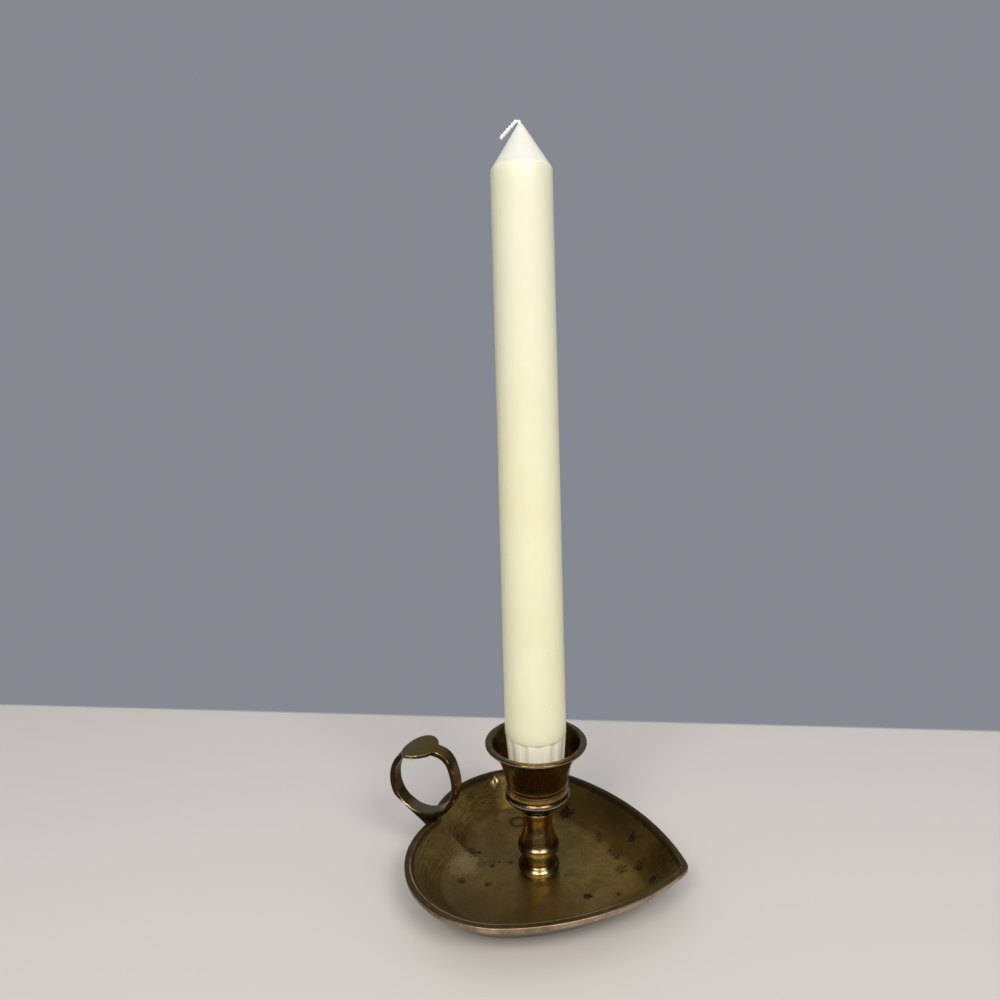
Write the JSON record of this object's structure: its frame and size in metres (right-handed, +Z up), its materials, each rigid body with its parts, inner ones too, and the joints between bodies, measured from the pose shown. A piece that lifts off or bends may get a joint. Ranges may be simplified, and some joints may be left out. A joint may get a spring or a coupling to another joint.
{
  "type": "chamberstick",
  "caption": "Heart-shaped brass chamberstick with a finger ring and thumb plate, a turned stem and cup, holding a tall fluted-foot candle.",
  "frame": {"origin": "on the axis of the stem and candle, on the flat underside of the tray where it rests", "axes": "+Z up along the stem and candle, +X towards the heart's tip, +Y to the left of someone looking along +X, so the finger ring is at -X"},
  "size_m": [0.1147, 0.0954, 0.2676],
  "materials": {
    "brass": "aged olive-brown cast brass, satin, brushed marks and stains",
    "turned_brass": "polished turned brass, browned in the hollows",
    "dark_brass": "dark red-brown patina over brass, worn bright at the lip and mouldings",
    "screw_brass": "plain brass, slightly dull",
    "ring_brass": "aged brass, worn bright along the edges",
    "wax": "smooth cream candle wax, soft sheen",
    "cotton": "plaited white cotton dipped in wax"
  },
  "bodies": {
    "chamberstick": {"tray": "brass", "stem": "turned_brass", "candle_cup": "dark_brass", "fixing_screw": "screw_brass", "finger_ring": "ring_brass"},
    "candle": {"candle": "wax", "wick": "cotton"}
  },
  "joints": [
    {"name": "candle_lift", "type": "slide", "parent": "chamberstick", "child": "candle", "axis": [0, 0, 1], "range_m": [0, 0.03]}
  ]
}
